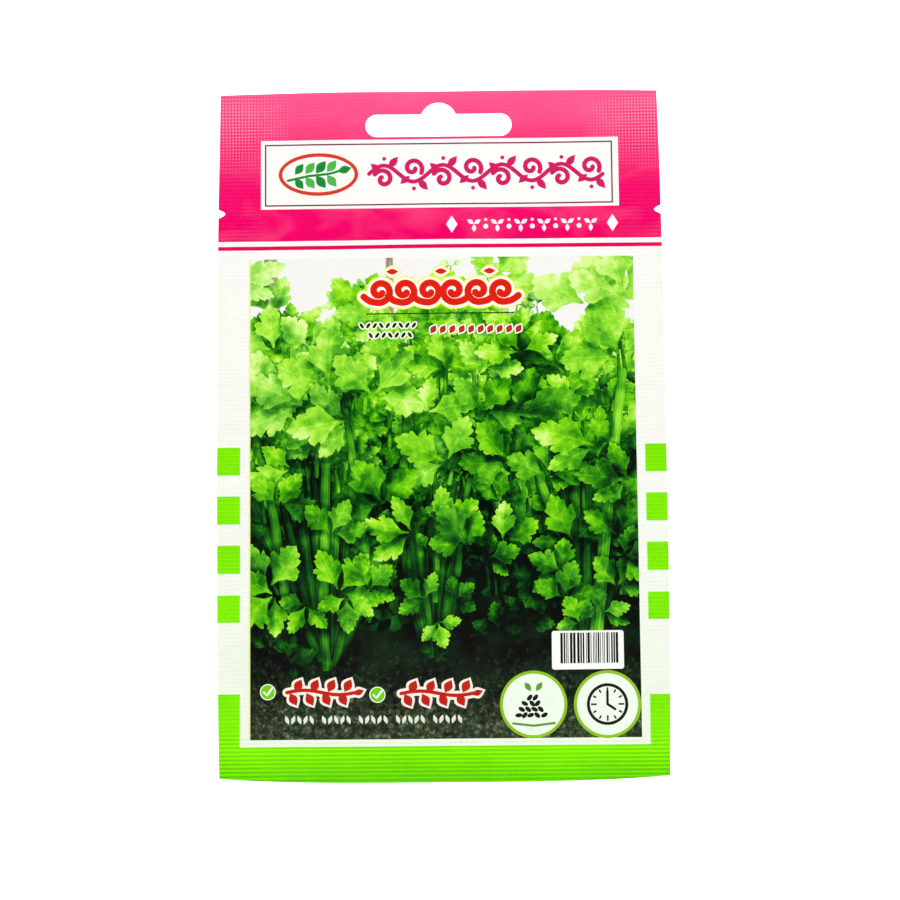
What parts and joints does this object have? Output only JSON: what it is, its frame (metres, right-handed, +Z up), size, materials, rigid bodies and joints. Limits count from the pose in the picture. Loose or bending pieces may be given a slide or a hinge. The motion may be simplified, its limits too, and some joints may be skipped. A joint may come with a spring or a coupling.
{
  "type": "seed packet",
  "caption": "Flat heat-sealed film sachet of seeds with a hang slot, tear notches, ribbed bottom seal and bulged pouch.",
  "frame": {"origin": "crown of the hang slot, on the plane where the two webs are sealed together", "axes": "+Z up along the packet's height, +X to the right seen from the front, -Y out of the printed front"},
  "size_m": [0.09, 0.006, 0.139],
  "materials": {
    "printed_film": "satin printed laminate, pink header, lime marks, leafy picture on white",
    "plain_film": "satin laminate, white with a pink header and a lime foot",
    "seeds": "matte, small ribbed brown seeds"
  },
  "bodies": {
    "root": {"front_film": "printed_film", "back_film": "plain_film", "seed_fill": "seeds"}
  },
  "joints": []
}
